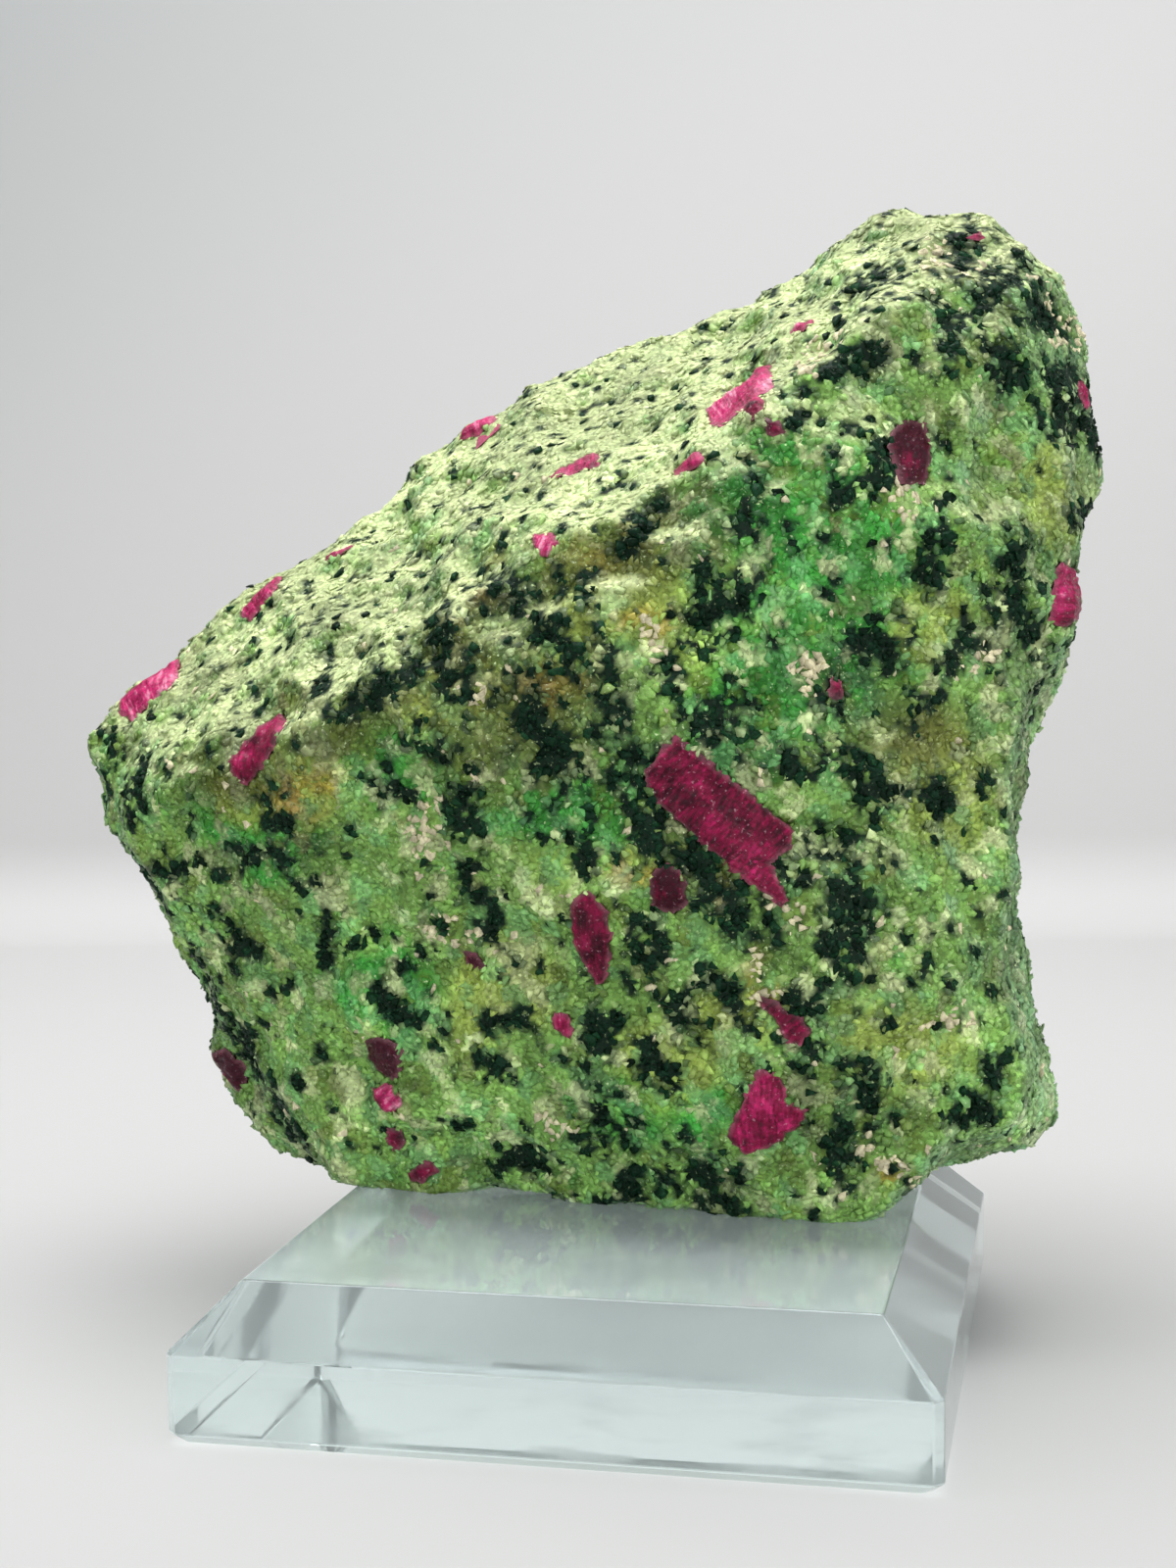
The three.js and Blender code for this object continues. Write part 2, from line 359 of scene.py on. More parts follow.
# %% Which mineral is where: clusters
# across, up, half length and half width in mm, turn in degrees: all seen from the front
DARK_CLUSTERS = [
    (0.43, 0.55, 7, 4, 100), (0.48, 0.62, 5, 3, -20), (0.52, 0.57, 8, 2.5, -40),
    (0.58, 0.51, 8, 3.5, 95), (0.60, 0.45, 5.5, 3, 0), (0.52, 0.47, 9, 4, -55),
    (0.42, 0.46, 3, 2.5, 0), (0.63, 0.54, 3.5, 3, 80), (0.67, 0.49, 6, 3.5, 10),
    (0.68, 0.60, 7, 4, 60), (0.70, 0.68, 4, 2.5, 80), (0.60, 0.67, 5, 2.5, 60),
    (0.61, 0.39, 8, 3, -75), (0.67, 0.33, 10.5, 3.5, -52), (0.61, 0.27, 5.5, 3.5, 90),
    (0.55, 0.36, 2.6, 2.4, 0), (0.45, 0.31, 6.5, 3.5, -65), (0.44, 0.40, 4.5, 3, -80),
    (0.37, 0.42, 5.5, 2, -20), (0.25, 0.37, 7, 4, -75), (0.18, 0.34, 6.5, 2.5, 15),
    (0.08, 0.40, 5, 2.5, 80), (0.12, 0.33, 4, 3, 0), (0.18, 0.26, 5, 2.5, -60),
    (0.29, 0.25, 4, 2.6, -70), (0.36, 0.19, 7, 2, -42), (0.46, 0.19, 4.5, 2.3, 15),
    (0.45, 0.14, 4, 2.5, 0), (0.56, 0.19, 5, 3.2, 90), (0.61, 0.16, 4.5, 3.5, -40),
    (0.47, 0.04, 6, 3, 10), (0.56, 0.09, 6, 4, 80), (0.59, 0.02, 5, 3, 0),
    (0.66, 0.03, 6.5, 4.5, -65), (0.69, 0.22, 6.5, 2.2, -50), (0.75, 0.22, 3.2, 3, 0),
    (0.75, 0.17, 4, 2.3, 0), (0.78, 0.27, 5, 3, -10), (0.79, 0.31, 6, 3.5, -70),
    (0.75, 0.34, 3, 2.6, 0), (0.78, 0.37, 3.2, 2.8, 0), (0.80, 0.14, 5, 2.6, -75),
    (0.78, 0.07, 5.5, 2.4, 90), (0.89, 0.11, 5, 2.8, -10), (0.92, 0.15, 3, 2.8, 0),
    (0.86, 0.41, 5, 3, -80), (0.79, 0.44, 8, 2.8, -45), (0.74, 0.45, 4.8, 2, -55),
    (0.77, 0.50, 3.8, 2.2, 90), (0.81, 0.55, 5, 3.8, 0), (0.87, 0.53, 8.5, 2.2, 62),
    (0.93, 0.58, 5.5, 3, -60), (0.93, 0.64, 4, 2.4, 80), (0.86, 0.64, 6.5, 2.8, 70),
    (0.82, 0.73, 4.5, 2.6, 70), (0.78, 0.70, 2.6, 2.2, 0), (0.74, 0.78, 3.2, 2, 90),
    (0.77, 0.82, 4, 2.2, 20), (0.80, 0.83, 3, 3, 0), (0.98, 0.79, 8, 4.5, -50),
    (0.95, 0.88, 4.5, 3, -40), (0.92, 0.92, 3.5, 3, 0), (0.87, 0.85, 5, 2.4, 80),
    (0.88, 0.95, 5, 2.4, 80), (0.99, 0.68, 3, 2.5, 0), (0.29, 0.52, 2.6, 2.2, 0),
    (0.08, 0.30, 6, 3, -60), (0.12, 0.21, 6, 3, -70), (0.17, 0.12, 6, 3, -60),
    (0.22, 0.05, 5, 2.5, -40), (0.03, 0.44, 5, 2.5, 70), (0.80, 0.92, 5, 2.4, 40),
    (0.93, 0.82, 6, 2.6, -60), (0.90, 0.89, 4, 2.6, 60), (0.38, 0.53, 5, 2.4, 20),
    (0.33, 0.50, 3, 2, 0), (0.54, 0.62, 4, 2.4, 0), (0.64, 0.21, 4, 2, -45),
]
FELDSPAR_CLUSTERS = [
    (0.86, 0.94, 5, 2.6, -25), (0.83, 0.70, 2.5, 3.5, 0), (0.75, 0.53, 2.4, 3.6, 0),
    (0.90, 0.54, 3, 3, 0), (0.62, 0.56, 5, 1.8, -60), (0.40, 0.37, 3.4, 5.5, 0),
    (0.41, 0.28, 4, 2.5, -30), (0.71, 0.24, 5, 1.8, -70), (0.74, 0.31, 3.6, 2.2, -60),
    (0.82, 0.06, 4.5, 2.2, -40), (0.51, 0.08, 3, 2, 0), (0.88, 0.20, 3, 2, 0),
    (0.97, 0.87, 5, 2.5, -60), (0.75, 0.84, 4.5, 3, 30), (0.45, 0.52, 4, 1.6, -50),
]
OCHRE_CLUSTERS = [
    (0.57, 0.65, 7, 3.5, 25), (0.44, 0.61, 6, 3.5, 40), (0.60, 0.35, 3.2, 2.4, 0),
    (0.61, 0.58, 3.5, 2.2, 0), (0.53, 0.52, 6, 4, 0), (0.27, 0.41, 7, 4, 20),
    (0.82, 0.05, 1.8, 1.5, 0), (0.66, 0.33, 4, 2, 0), (0.71, 0.25, 5, 2.5, -60),
    (0.86, 0.93, 6, 3, -30),
]
# The same, for broad patches of colour in the zoisite, and for patches of painted light.
EMERALD_PATCHES = [
    (0.77, 0.58, 20, 13, 65), (0.70, 0.52, 13, 9, 40), (0.55, 0.40, 12, 7, 0),
    (0.34, 0.22, 9, 8, 0), (0.62, 0.10, 14, 6, 0), (0.20, 0.38, 13, 7, -30),
    (0.36, 0.44, 10, 5, 0), (0.72, 0.70, 13, 9, 20),
]
YELLOW_PATCHES = [
    (0.56, 0.61, 10, 6, 10), (0.87, 0.42, 7, 9, 0), (0.65, 0.18, 13, 7, 30),
    (0.48, 0.23, 9, 7, 0), (0.82, 0.18, 8, 7, 0), (0.86, 0.57, 6, 6, 0), (0.24, 0.42, 12, 6, 10),
    (0.97, 0.70, 7, 9, 0), (0.42, 0.52, 8, 5, 30),
]
RIDGE_STAINS = [
    (0.30, 0.50, 18, 8, 28), (0.45, 0.58, 16, 8, 35), (0.60, 0.66, 14, 7, 30),
    (0.20, 0.44, 12, 6, 10), (0.50, 0.49, 13, 8, 20), (0.66, 0.36, 9, 6, -50),
    (0.84, 0.47, 8, 6, 0),
]
# Patches on the front painted lighter: painted light, as low on the left and at the right edge,
# where light bounced off the table and the wall falls.
PAINTED_LIGHT_PATCHES = [
    (0.34, 0.24, 8, 18, 0), (0.42, 0.09, 13, 7, 0), (0.65, 0.14, 9, 7, 0), (0.74, 0.62, 10, 7, 0),
    (0.14, 0.50, 9, 6, 0), (0.28, 0.46, 9, 7, 0), (0.50, 0.66, 8, 4, 20), (0.78, 0.69, 8, 7, 0),
    (0.94, 0.12, 9, 9, 0),
]
print("dark clusters:", len(DARK_CLUSTERS))


# %% Which mineral is where: fields
def noise_field(points, size, start):
    """Smooth noise from -1 to 1 at each point, with features about this size."""
    return np.array([noise.noise(Vector(p) / size + Vector((start, 0, 0))) for p in points])


def cluster_field(points, normals, clusters):
    """How deep each point lies in the nearest ellipse: 1 at a middle, fading to 0 outside."""
    deepest = np.zeros(len(points))
    for across, up, half_length, half_width, turn in clusters:
        middle = np.array(side_place("front", across, up))
        dx, dz = points[:, 0] - middle[0], points[:, 2] - middle[2]
        c, s = math.cos(math.radians(turn)), math.sin(math.radians(turn))
        a = (dx * c + dz * s) / (half_length * MM)
        b = (dz * c - dx * s) / (half_width * MM)
        # flat in the middle, then falling steeply at the edge
        deepest = np.maximum(deepest, np.exp(-0.8 * (a * a + b * b) ** 1.5))
    not_behind = normals[:, 1] < 0.2
    return deepest * not_behind


def fade(value, low, high):
    """0 below low, 1 above high, and smooth between."""
    share = np.clip((value - low) / (high - low), 0, 1)
    return share * share * (3 - 2 * share)


def places_and_normals(parts, place):
    """The place and the normal of each of a mesh's faces ("center") or vertices ("co")."""
    rows = np.empty((2, len(parts) * 3))
    for row, fact in zip(rows, (place, "normal")):
        parts.foreach_get(fact, row)
    return rows.reshape(2, -1, 3)


def point_tree(points):
    """A tree that quickly finds the points nearest to a place."""
    tree = KDTree(len(points))
    for i, point in enumerate(points):
        tree.insert(point, i)
    tree.balance()
    return tree


face_middles, face_normals = places_and_normals(rock.data.polygons, "center")


def scatter(spacing, seed):
    """Numbers of rock faces, picked at random but about this far apart."""
    order = np.random.default_rng(seed).permutation(len(face_middles))
    cells = np.floor(face_middles[order] / spacing).astype(int)
    _, first = np.unique(cells, axis=0, return_index=True)
    return order[first]


print("rock faces facing the front:", int((face_normals[:, 1] < 0).sum()))


# %% Which mineral is where: spots
def facing_up(normals, low=0.35, high=0.7):
    """1 on the sloping top and 0 on the front, the flanks and the back."""
    return fade(normals[:, 2], low, high)


def in_rubies(points, normals, margin):
    """Which points lie inside a ruby's outline, drawn in by a margin."""
    covered = np.zeros(len(points), bool)
    for side, across, up, length, width, turn, outline, _ in RUBIES:
        along, over, look = (np.array(v) for v in crystal_axes(side, turn))
        offsets = points - np.array(side_place(side, across, up))
        flat = np.c_[offsets @ along, offsets @ over]
        inside = normals @ look < -0.1  # faces the side that the ruby is seen from
        for corner, outwards in outline_sides(outline, length * MM, width * MM):
            inside &= (np.array(corner.xy) - flat) @ np.array(outwards.xy) > margin
        covered |= inside
    return covered


STREAKS = np.array(Vector((0.55, 0.0, -0.83)).normalized())  # the way that the bands run
STREAK_SQUEEZE = 0.3


def squeezed(points):
    """The points with distances along the rock's streaks made shorter, so that balls are long."""
    return points - STREAK_SQUEEZE * (points @ STREAKS)[:, None] * STREAKS


RUBY_MARGIN = 0.5 * MM
NEAREST_FEW = 4


class Spots:
    """Patches scattered over the rock. chance gives each place's own chance of a patch."""

    def __init__(self, spacing, chance, smallest, largest, seed):
        picked = scatter(spacing, seed)
        rng = np.random.default_rng(seed)
        places, normals = face_middles[picked], face_normals[picked]
        likely = chance(places, normals)
        kept = (rng.random(len(picked)) < likely) & ~in_rubies(places, normals, -RUBY_MARGIN)
        self.places, self.normals = places[kept], normals[kept]
        # a patch grows larger where patches are likely, and is worn smaller on the top
        grown = rng.random(kept.sum()) * (0.45 + 0.55 * np.clip(likely[kept], 0, 1))
        worn_down = 1 - 0.3 * facing_up(self.normals)
        self.radii = (smallest + (largest - smallest) * grown) * worn_down
        self.tree = point_tree(squeezed(self.places))

    def depth(self, points):
        """How deep each point lies in a patch: above 0 inside, in radii."""
        return np.array([
            max(1 - away / self.radii[i] for _, i, away in self.tree.find_n(point, NEAREST_FEW))
            for point in squeezed(points)])


def with_others_behind(clusters, points, normals, behind):
    """The clusters on the front, and patches of noise where the rock faces backwards."""
    backwards = fade(normals[:, 1], 0.0, 0.3)
    return np.maximum(cluster_field(points, normals, clusters), backwards * behind)


def dark_crowds(points, normals):
    """How crowded with hornblende the rock is."""
    behind = fade(noise_field(squeezed(points), 7 * MM, 3), 0.05, 0.4)
    return with_others_behind(DARK_CLUSTERS, points, normals, behind)


def dark_chance(places, normals):
    """The chance of a round spot: some everywhere, more on the top, and most in the crowds."""
    return 0.08 + 0.24 * facing_up(normals) + 0.34 * dark_crowds(places, normals)


def is_feldspar(points, normals):
    """Ragged crusts with holes in them, and a few specks elsewhere."""
    behind = fade(noise_field(points, 9 * MM, 8), 0.25, 0.6)
    crusts = with_others_behind(FELDSPAR_CLUSTERS, points, normals, behind)
    ragged = noise_field(squeezed(points), 1.9 * MM, 90) + 0.5 * noise_field(points, 0.9 * MM, 95)
    return crusts + 0.9 * ragged > 0.62


SPOT_SPACING, SMALLEST_SPOT, LARGEST_SPOT = 2.35 * MM, 0.45 * MM, 1.9 * MM
dark_spots = Spots(SPOT_SPACING, dark_chance, SMALLEST_SPOT, LARGEST_SPOT, SEED)


def darkness(points, normals):
    """Above 0 where the rock is hornblende, and close below 0 beside it.

    Noise tears a crowd into bands and gaps, but gives a round spot only an uneven rim.
    """
    tears = noise_field(squeezed(points), 2.1 * MM, 70) + 0.6 * noise_field(points, 1.0 * MM, 75)
    crowded = 1.5 * dark_crowds(points, normals) + 1.5 * tears - 1.15
    spotted = dark_spots.depth(points) + 0.45 * noise_field(points, 1.6 * MM, 50) - 0.12
    return np.maximum(crowded, spotted)


print("dark spots:", len(dark_spots.radii))

# %% [markdown]
# ## The zoisite's colours
# The green runs from pale yellow green to emerald. It changes over a centimetre or two, again in
# patches of a few millimetres, and a little from grain to grain. The ridge under the sloping top is
# stained brown, and the green darkens beside hornblende. Painted light is added to that: the top
# is painted paler and lighter, mostly for the lamp overhead, the flanks get a painted grey sheen,
# a painted reflection of the pale room, and patches on the front are painted lighter for light
# bounced off the table and the wall. An image texture could hold all that, but a colour for each
# grain is simpler and stays sharp. It is worked out from the broad patches, the grain's own small
# patch and chance, and kept as an attribute that the materials read.


# %% The zoisite's colours
def paint(red, green, blue):
    """A colour given from 0 to 255, as the linear numbers that shading uses."""
    return np.array([(v / 255) ** 2.2 for v in (red, green, blue)])


MID_GREEN = paint(136, 182, 92)
EMERALD = paint(70, 158, 64)
SEA_GREEN = paint(120, 182, 118)
YELLOW_GREEN = paint(190, 196, 92)
PALE_GREEN = paint(222, 232, 172)
OLIVE = paint(112, 128, 54)
OCHRE = paint(200, 152, 62)
FELDSPAR = paint(222, 212, 174)
HORNBLENDE = paint(23, 42, 31)
DARK_GREEN = paint(34, 66, 44)
RIDGE_BROWN = paint(120, 116, 58)
# a painted reflection: the grey sheen of the pale room on the flanks
PAINTED_FLANK_SHEEN = paint(138, 164, 142)


def mix(first, second, share):
    """Blends two colours, or rows of colours, by a share for each row."""
    return first + (second - first) * share[:, None]


PATCH_SIZE = 3.0 * MM
patch_middles = squeezed(face_middles[scatter(PATCH_SIZE, SEED + 30)])
patches = point_tree(patch_middles)
patch_rng = np.random.default_rng(SEED + 31)
patch_lightness = patch_rng.uniform(0.7, 1.24, len(patch_middles))
patch_paleness = patch_rng.random(len(patch_middles))
patch_hue = patch_rng.random(len(patch_middles))
print("patches:", len(patch_middles))


def zoisite_colours(points, normals, seed):
    """A colour for each grain: from its cluster, its patch of a few millimetres, chance, and
    painted light.
    """
    rng = np.random.default_rng(seed)
    chance = rng.random(len(points))
    patch = np.array([patches.find(point)[1] for point in squeezed(points)])
    broad, narrow = noise_field(points, 13 * MM, 20), noise_field(points, 5 * MM, 30)

    def in_any(clusters):
        return cluster_field(points, normals, clusters)

    # broad patches of emerald and of yellow green
    emerald = fade(in_any(EMERALD_PATCHES) + 0.8 * narrow, 0.2, 0.9)
    yellow = fade(in_any(YELLOW_PATCHES) + 0.8 * broad, 0.2, 0.9)
    colours = mix(np.tile(MID_GREEN, (len(points), 1)), EMERALD, emerald)
    colours = mix(colours, YELLOW_GREEN, 0.5 * yellow)

    # small patches of sea green, of bleached green, of olive and of ochre
    hue = patch_hue[patch] + 0.2 * chance
    colours = mix(colours, SEA_GREEN, 0.55 * fade(hue, 0.75, 0.95))
    paleness = 0.84 * patch_paleness[patch] + 0.16 * rng.random(len(points)) + 0.4 * narrow
    colours = mix(colours, PALE_GREEN, 0.75 * fade(paleness, 0.6, 0.95))
    colours = mix(colours, OLIVE, 0.6 * (1 - fade(hue, 0.15, 0.3)))
    ochre = in_any(OCHRE_CLUSTERS) * fade(narrow, -0.3, 0.3) * (rng.random(len(points)) > 0.2)
    colours = mix(colours, OCHRE, 0.7 * ochre)

    # the top painted paler, mostly painted light from the lamp overhead, a painted grey sheen on
    # # the flanks, and the stained ridge
    on_top = facing_up(normals, 0.3, 0.75)
    colours = mix(colours, PALE_GREEN, 0.8 * on_top)
    # painted reflection: a grey sheen where the rock turns to the sides
    on_flank = (1 - on_top) * fade(np.abs(normals[:, 1]), 0.85, 0.45)
    colours = mix(colours, PAINTED_FLANK_SHEEN, 0.4 * on_flank)
    under_ridge = in_any(RIDGE_STAINS) * (1 - on_top)
    colours = mix(colours, RIDGE_BROWN, 0.6 * under_ridge * fade(broad, -0.5, 0.2))

    # dark green beside hornblende
    shadowed = fade(darkness(points, normals), -0.6, -0.05) * (rng.random(len(points)) > 0.2)
    colours = mix(colours, DARK_GREEN, 0.75 * shadowed)

    # lighter and darker by the patch, the place and the grain, with painted light in some patches
    #     # and on the top
    blotches = 1 + (patch_lightness[patch] - 1) * (1 - 0.6 * on_top) + 0.45 * broad
    lightness = blotches * (1 - 0.42 * under_ridge) * rng.uniform(0.86, 1.14, len(points))
    # painted light: lighter in the patches where bounced light falls
    lightness *= 1 + 0.28 * in_any(PAINTED_LIGHT_PATCHES) * (1 - on_top)
    # painted light: the top is made lighter than the rest, for the lamp overhead
    lightness *= 0.92 + 0.06 * on_top
    return colours * np.clip(lightness, 0.22, 1.6)[:, None]


# %% [markdown]
# ## The grains
# A grain is a small blocky crystal, wedged among its neighbours with one end showing. Tens of
# thousands of them cover the rock. Modelling them one by one is out of the question, and a
# particle system would leave them as instances. Here a few grain shapes are made, each the hull of
# a few random points, and Geometry Nodes sets one on every scattered point with its own size and
# turn, and realizes them as plain mesh.

# %% The grains: shapes
GRAIN_SHAPES = 8


def grain_shape(name, corners, seed):
    """A blocky crystal about 2 units long: the hull of a few points near a ball."""
    rng = np.random.default_rng(seed)
    shape = bmesh.new()
    for _ in range(corners):
        shape.verts.new(Vector(rng.normal(size=3)).normalized() * rng.uniform(0.85, 1.1))
    hull = bmesh.ops.convex_hull(shape, input=shape.verts)
    bmesh.ops.delete(shape, geom=hull["geom_interior"], context="VERTS")
    bmesh.ops.recalc_face_normals(shape, faces=shape.faces)
    for face in shape.faces:
        face.smooth = True
    return finished_piece(shape, name)


def shape_family(name, corners, seed):
    """A collection of grain shapes, kept out of the scene."""
    family = bpy.data.collections.new(name)
    for number in range(GRAIN_SHAPES):
        shape = grain_shape(f"{name}_{number}", corners, seed + number)
        bpy.context.scene.collection.objects.unlink(shape)
        family.objects.link(shape)
    return family


blocky_grains = shape_family("blocky_grain", 9, SEED)
rounded_grains = shape_family("rounded_grain", 22, SEED + 20)


# %% The grains: setting them
def attribute_node(tree, name, kind):
    """What a point keeps under this name."""
    node = tree.nodes.new("GeometryNodeInputNamedAttribute")
    node.data_type = kind
    node.inputs["Name"].default_value = name
    return node.outputs["Attribute"]


def grain_setter(family):
    """Geometry Nodes that set a shape of the family on each point and realize the result."""
    tree = bpy.data.node_groups.new(f"set_{family.name}", "GeometryNodeTree")
    tree.interface.new_socket("Geometry", in_out="INPUT", socket_type="NodeSocketGeometry")
    tree.interface.new_socket("Geometry", in_out="OUTPUT", socket_type="NodeSocketGeometry")
    points, out = tree.nodes.new("NodeGroupInput"), tree.nodes.new("NodeGroupOutput")
    shapes = tree.nodes.new("GeometryNodeCollectionInfo")
    for key, value in (
            ("Collection", family), ("Separate Children", True), ("Reset Children", True)):
        shapes.inputs[key].default_value = value
    turn = tree.nodes.new("FunctionNodeAxesToRotation")
    turn.primary_axis, turn.secondary_axis = "Z", "X"
    setter = tree.nodes.new("GeometryNodeInstanceOnPoints")
    setter.inputs["Pick Instance"].default_value = True
    realize = tree.nodes.new("GeometryNodeRealizeInstances")
    for output, node, key in (
            (points.outputs["Geometry"], setter, "Points"),
            (shapes.outputs["Instances"], setter, "Instance"),
            (attribute_node(tree, "shape", "INT"), setter, "Instance Index"),
            (attribute_node(tree, "faces", "FLOAT_VECTOR"), turn, "Primary Axis"),
            (attribute_node(tree, "points_to", "FLOAT_VECTOR"), turn, "Secondary Axis"),
            (turn.outputs["Rotation"], setter, "Rotation"),
            (attribute_node(tree, "size", "FLOAT_VECTOR"), setter, "Scale"),
            (setter.outputs["Instances"], realize, "Geometry"),
            (realize.outputs["Geometry"], out, "Geometry")):
        tree.links.new(output, node.inputs[key])
    return tree


set_blocky, set_rounded = grain_setter(blocky_grains), grain_setter(rounded_grains)
print("nodes that set a grain:", len(set_blocky.nodes))

# %% The grains: joining them
GRAIN_LEAN = 0.24
GRAIN_THICKNESS = 0.5


def grains(name, setter, places, normals, colours, radii, seed, drawn_out=1.0, stray=3.0):
    """A piece of joined grains, each lying roughly along the surface.

    drawn_out is how long they are for their width. stray is how far they turn from the
    direction of the rock's streaks.
    """
    rng = np.random.default_rng(seed)
    mesh = bpy.data.meshes.new(name)
    mesh.vertices.add(len(places))
    mesh.vertices.foreach_set("co", places.ravel())
    sizes = radii[:, None] * rng.uniform(0.75, 1.3, (len(places), 3))
    sizes *= (drawn_out ** 0.5, drawn_out ** -0.5, GRAIN_THICKNESS)
    worn = facing_up(normals, 0.3, 0.75)[:, None]
    sizes[:, 2:] *= 1 - 0.5 * worn
    for kind, key, field, values in (
            ("INT", "shape", "value", rng.integers(0, GRAIN_SHAPES, len(places))),
            ("FLOAT_VECTOR", "faces", "vector",
             normals + rng.normal(scale=GRAIN_LEAN, size=normals.shape) * (1 - 0.75 * worn)),
            ("FLOAT_VECTOR", "points_to", "vector",
             STREAKS + rng.normal(scale=stray, size=normals.shape)),
            ("FLOAT_VECTOR", "size", "vector", sizes),
            ("FLOAT_COLOR", "mineral_colour", "color", np.c_[colours, np.ones(len(places))])):
        mesh.attributes.new(key, kind, "POINT").data.foreach_set(field, values.ravel())
    piece = add_object(name, mesh)
    piece.modifiers.new("set_grains", "NODES").node_group = setter
    apply_modifiers(piece)
    for key in ("shape", "faces", "points_to", "size"):
        piece.data.attributes.remove(piece.data.attributes[key])
    piece.data.materials.clear()
    print(name, "grains:", len(places), "faces:", len(piece.data.polygons))
    return piece


# %% The grains: one for each place
GRAIN_SPACING = 1.12 * MM
GRAIN_RADIUS = 0.92 * MM
GRAIN_SUNK = 0.14 * MM
GRAIN_SHIFT = 0.12 * MM
OVER_RUBY_RIM = 0.35 * MM
HORNBLENDE_FROM = 0.13

picked = scatter(GRAIN_SPACING, SEED + 2)
grain_normals = face_normals[picked]
shift = np.random.default_rng(SEED + 3).normal(scale=GRAIN_SHIFT, size=(len(picked), 3))
grain_places = face_middles[picked] + shift - grain_normals * GRAIN_SUNK
free = ~in_rubies(grain_places, grain_normals, OVER_RUBY_RIM)
grain_places, grain_normals = grain_places[free], grain_normals[free]
grain_darkness = darkness(grain_places, grain_normals)
dark = grain_darkness > HORNBLENDE_FROM
cream = ~dark & is_feldspar(grain_places, grain_normals)
green = ~dark & ~cream
print("grains:", len(grain_places), "dark:", dark.mean().round(3), "cream:", cream.mean().round(3))


# %% The grains: the pieces
def grain_piece(name, chosen, colours, seed, bigger=1.0):
    """The chosen ones of all the grains, as one piece."""
    rng = np.random.default_rng(seed)
    radii = GRAIN_RADIUS * bigger * rng.uniform(0.65, 1.2, chosen.sum())
    return grains(
        name, set_blocky, grain_places[chosen], grain_normals[chosen], colours[chosen], radii, seed)


def shaded(colour, count, darkest, lightest, seed):
    """One colour, made a little darker or lighter for each grain."""
    return colour * np.random.default_rng(seed).uniform(darkest, lightest, (count, 1))


green_colours = zoisite_colours(grain_places, grain_normals, SEED + 4)
dark_colours = shaded(HORNBLENDE, len(grain_places), 0.5, 1.6, SEED + 5)
dark_colours = mix(  # greener at the rim of a cluster
    dark_colours, DARK_GREEN, 0.8 * fade(grain_darkness, 0.45, HORNBLENDE_FROM))
cream_colours = shaded(FELDSPAR, len(grain_places), 0.7, 1.15, SEED + 6)
front, back = grain_normals[:, 1] < -0.6, grain_normals[:, 1] > 0.6
upper = ~front & ~back & (grain_normals[:, 2] > 0)
lower = ~front & ~back & ~upper
BLOB_SUNK = 0.3 * MM
hornblende_blobs = grains(
    "hornblende_blobs", set_rounded, dark_spots.places - dark_spots.normals * BLOB_SUNK,
    dark_spots.normals, shaded(HORNBLENDE, len(dark_spots.radii), 0.5, 1.7, SEED + 8),
    dark_spots.radii * 0.95, SEED + 9, drawn_out=1.4, stray=0.5)
grain_pieces = [
    *(grain_piece(f"zoisite_grains_{where}", green & here, green_colours, SEED + 10 + i)
      for i, (where, here) in enumerate(
          {"front": front, "back": back, "upper": upper, "lower": lower}.items())),
    grain_piece("hornblende_grains", dark, dark_colours, SEED + 14, bigger=1.1),
    grain_piece("feldspar_grains", cream, cream_colours, SEED + 15, bigger=1.05),
    hornblende_blobs,
]

# %% [markdown]
# ## The ground between the grains
# Between the grains the rock itself shows as a thread, painted darker as painted shade in the gaps.
# It takes the same minerals as the grains over it, worked out at every vertex. Under a ruby it is
# pressed in, so that it can't come through the crystal's face, and where the stone stands it is
# kept out of the glass.

# %% The ground between the grains
SEAT = glass_high.z + 0.03 * MM
PRESSED_IN = 0.8 * MM
# painted shade: how much darker the ground between the grains is painted
PAINTED_GAP_SHADE = 0.8
DARK_GROUND_FROM = -0.05

places, normals = places_and_normals(rock.data.vertices, "co")
under_ruby = in_rubies(places, normals, 0)
# painted darker, for the shade in the gaps between the grains
ground = zoisite_colours(places, normals, SEED + 7) * PAINTED_GAP_SHADE
ground[darkness(places, normals) > DARK_GROUND_FROM] = HORNBLENDE
ground = np.c_[ground, np.ones(len(ground))]
rock.data.attributes.new("mineral_colour", "FLOAT_COLOR", "POINT").data.foreach_set(
    "color", ground.ravel())
places[under_ruby] -= normals[under_ruby] * PRESSED_IN
rock.data.vertices.foreach_set("co", places.ravel())


def keep_off_glass(piece):
    """Lifts what would reach into the glass, inside the block's outline."""
    places, _ = places_and_normals(piece.data.vertices, "co")
    over = (np.abs(places[:, :2]) < glass_high.x).all(axis=1)
    places[over, 2] = np.maximum(places[over, 2], SEAT)
    piece.data.vertices.foreach_set("co", places.ravel())
    piece.data.update()


for piece in (rock, rubies, *grain_pieces):
    keep_off_glass(piece)
print("ground vertices under rubies:", int(under_ruby.sum()))

# %% [markdown]
# ## Mineral finishes
# All the minerals share one effect: inside a grain, the colour and the polish change again over a
# few tenths of a millimetre, from cleavage cracks and bruises, and here and there a tiny painted
# glint, a highlight painted into the colour, brightens it. That is a node group with the colour
# going in. The shaders stay in each material: hornblende is smooth, ruby is silky, feldspar is
# dull.
# The shine is kept low, most of all for hornblende, because thousands of small faces would
# otherwise mirror the pale room and turn the black grey.


